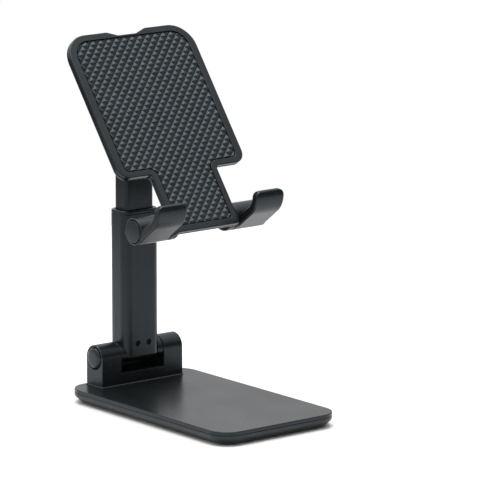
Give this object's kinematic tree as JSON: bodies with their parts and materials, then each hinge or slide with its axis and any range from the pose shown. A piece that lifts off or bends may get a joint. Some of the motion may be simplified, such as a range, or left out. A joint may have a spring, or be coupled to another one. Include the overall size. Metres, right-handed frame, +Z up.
{
  "type": "foldable phone stand",
  "caption": "Desktop phone stand: weighted base, folding and telescoping column, tilting T-shaped cradle with textured grip pad and fold-flat hooks.",
  "frame": {"origin": "on the table under the middle of the base, on the lower face of the anti-slip pad", "axes": "+Z up, -Y towards the person using the stand, +X to their right; all hinges turn about +X"},
  "size_m": [0.0762, 0.1222, 0.1763],
  "materials": {
    "shell_plastic": "fine satin texture, near-black charcoal",
    "column_plastic": "smooth satin, near-black",
    "trim_plastic": "satin, near-black",
    "silicone": "matte, moulded pyramids",
    "rubber": "matte",
    "steel": "zinc-plated",
    "black_screws": "black oxide"
  },
  "bodies": {
    "base": {"base_cover": "shell_plastic", "base_tray": "shell_plastic", "base_pad": "rubber", "counterweight": "steel", "base_screw_front_left": "black_screws", "base_screw_front_right": "black_screws", "base_screw_rear_left": "black_screws", "base_screw_rear_right": "black_screws", "hinge_block": "shell_plastic", "block_screw_left": "black_screws", "block_screw_right": "black_screws", "lower_hinge_bolt": "steel", "lower_hinge_nut": "steel", "lower_washer_left": "steel", "lower_washer_right": "steel", "lower_cap_left": "trim_plastic", "lower_cap_right": "trim_plastic"},
    "lower_column": {"lower_knuckle": "column_plastic", "outer_tube": "column_plastic", "tube_collar": "trim_plastic", "column_screw_left": "black_screws", "column_screw_right": "black_screws"},
    "upper_column": {"inner_tube": "column_plastic", "slide_guide": "trim_plastic", "slide_spring": "steel", "head_knuckle": "column_plastic", "head_screw_left": "black_screws", "head_screw_right": "black_screws"},
    "upper_hinge_shaft": {"upper_hinge_bolt": "steel", "upper_hinge_nut": "steel", "upper_washer_left": "steel", "upper_washer_right": "steel"},
    "cradle": {"cradle_shell": "shell_plastic", "cradle_bezel": "shell_plastic", "grip_pad": "silicone", "upper_dome_left": "shell_plastic", "upper_dome_right": "shell_plastic", "shell_screw_upper_left": "black_screws", "shell_screw_upper_right": "black_screws", "shell_screw_lower_left": "black_screws", "shell_screw_lower_right": "black_screws"},
    "left_hook_pivot": {"left_hook_pin": "steel"},
    "left_hook": {"left_hook": "shell_plastic", "left_hook_cap": "trim_plastic"},
    "right_hook_pivot": {"right_hook_pin": "steel"},
    "right_hook": {"right_hook": "shell_plastic", "right_hook_cap": "trim_plastic"}
  },
  "joints": [
    {"name": "column_fold", "type": "hinge", "parent": "base", "child": "lower_column", "pos_m": [0, 0.0522, 0.0208], "axis": [1, 0, 0], "range_deg": [0, 88]},
    {"name": "column_extend", "type": "slide", "parent": "lower_column", "child": "upper_column", "axis": [0, 0, 1], "range_m": [-0.0398, 0.003]},
    {"name": "cradle_fold", "type": "hinge", "parent": "upper_column", "child": "upper_hinge_shaft", "pos_m": [0, 0.0522, 0.1482], "axis": [1, 0, 0], "range_deg": [0, 37]},
    {"name": "cradle_tilt", "type": "hinge", "parent": "upper_hinge_shaft", "child": "cradle", "pos_m": [0, 0.0522, 0.1482], "axis": [1, 0, 0], "range_deg": [-54, 0]},
    {"name": "left_hook_fold", "type": "hinge", "parent": "cradle", "child": "left_hook_pivot", "pos_m": [0, 0.00363, 0.09185], "axis": [1, 0, 0], "range_deg": [-90, 0]},
    {"name": "left_hook_turn", "type": "hinge", "parent": "left_hook_pivot", "child": "left_hook", "pos_m": [0, 0.00363, 0.09185], "axis": [1, 0, 0], "range_deg": [-90, 0]},
    {"name": "right_hook_fold", "type": "hinge", "parent": "cradle", "child": "right_hook_pivot", "pos_m": [0, 0.00363, 0.09185], "axis": [1, 0, 0], "range_deg": [-90, 0]},
    {"name": "right_hook_turn", "type": "hinge", "parent": "right_hook_pivot", "child": "right_hook", "pos_m": [0, 0.00363, 0.09185], "axis": [1, 0, 0], "range_deg": [-90, 0]}
  ],
  "couplings": [
    {"joint": "cradle_fold", "follows": "column_fold", "ratio": 0.42},
    {"joint": "left_hook_fold", "follows": "column_fold", "ratio": -1.02},
    {"joint": "right_hook_fold", "follows": "column_fold", "ratio": -1.02}
  ]
}
